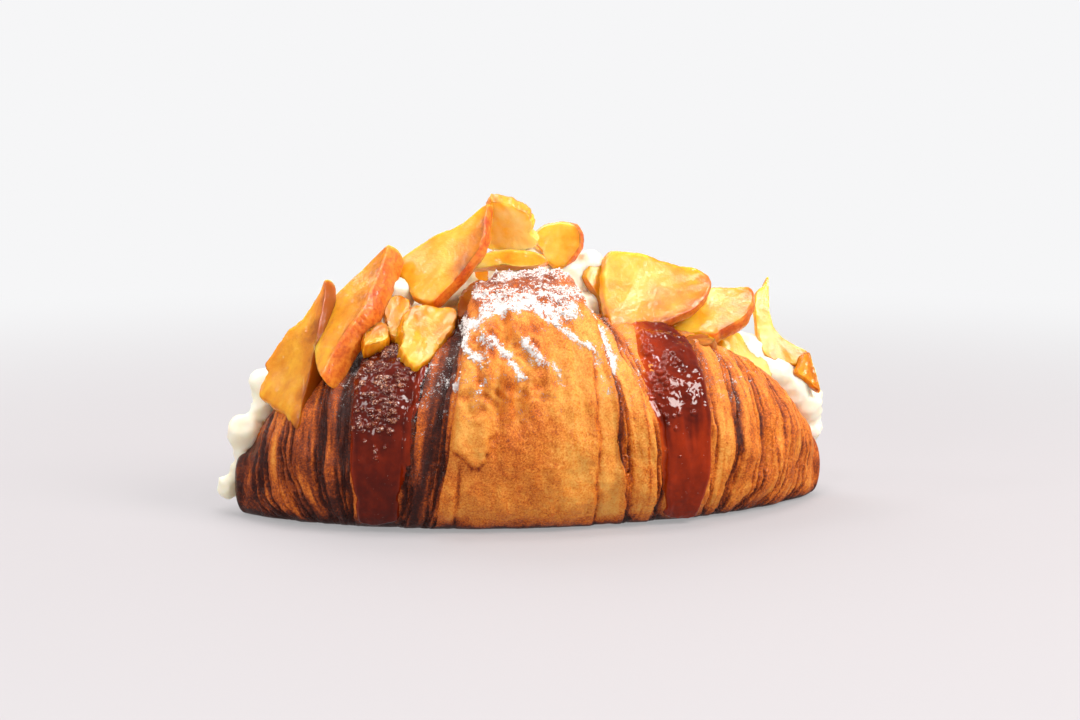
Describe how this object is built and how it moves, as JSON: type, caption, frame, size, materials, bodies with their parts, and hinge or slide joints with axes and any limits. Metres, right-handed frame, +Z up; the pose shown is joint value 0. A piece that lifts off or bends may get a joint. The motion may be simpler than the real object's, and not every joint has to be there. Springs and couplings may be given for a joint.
{
  "type": "filled croissant",
  "caption": "Baked laminated croissant, slit along its top and filled with whipped cream and poached apple slices, with runs of caramel and a dusting of powdered sugar.",
  "frame": {"origin": "middle of the flat underside that the croissant rests on", "axes": "+X along the croissant from tip to tip, -Y towards the convex front, +Z up out of the slit"},
  "size_m": [0.1743, 0.0847, 0.0867],
  "materials": {
    "baked_dough": "satin baked crust, golden to dark brown",
    "whipped_cream": "soft satin",
    "poached_apple": "wet gloss, translucent",
    "caramel": "high gloss",
    "powdered_sugar": "matt powder"
  },
  "bodies": {
    "root": {"croissant_dough": "baked_dough", "cream_filling": "whipped_cream", "caramel_run_left": "caramel", "caramel_run_right": "caramel", "apple_slice_left_1": "poached_apple", "apple_slice_left_2": "poached_apple", "apple_slice_left_3": "poached_apple", "apple_slice_top": "poached_apple", "apple_slice_flat": "poached_apple", "apple_slice_middle": "poached_apple", "apple_slice_right_1": "poached_apple", "apple_slice_right_2": "poached_apple", "apple_slice_right_3": "poached_apple", "apple_slice_twisted": "poached_apple", "apple_slice_end": "poached_apple", "apple_slab_right": "poached_apple", "apple_slice_back_1": "poached_apple", "apple_slice_back_2": "poached_apple", "apple_slice_back_3": "poached_apple", "apple_chunk_front": "poached_apple", "apple_chunk_small_1": "poached_apple", "apple_chunk_small_2": "poached_apple", "apple_chunk_skin": "poached_apple", "apple_chunk_under_right": "poached_apple"}
  },
  "joints": []
}
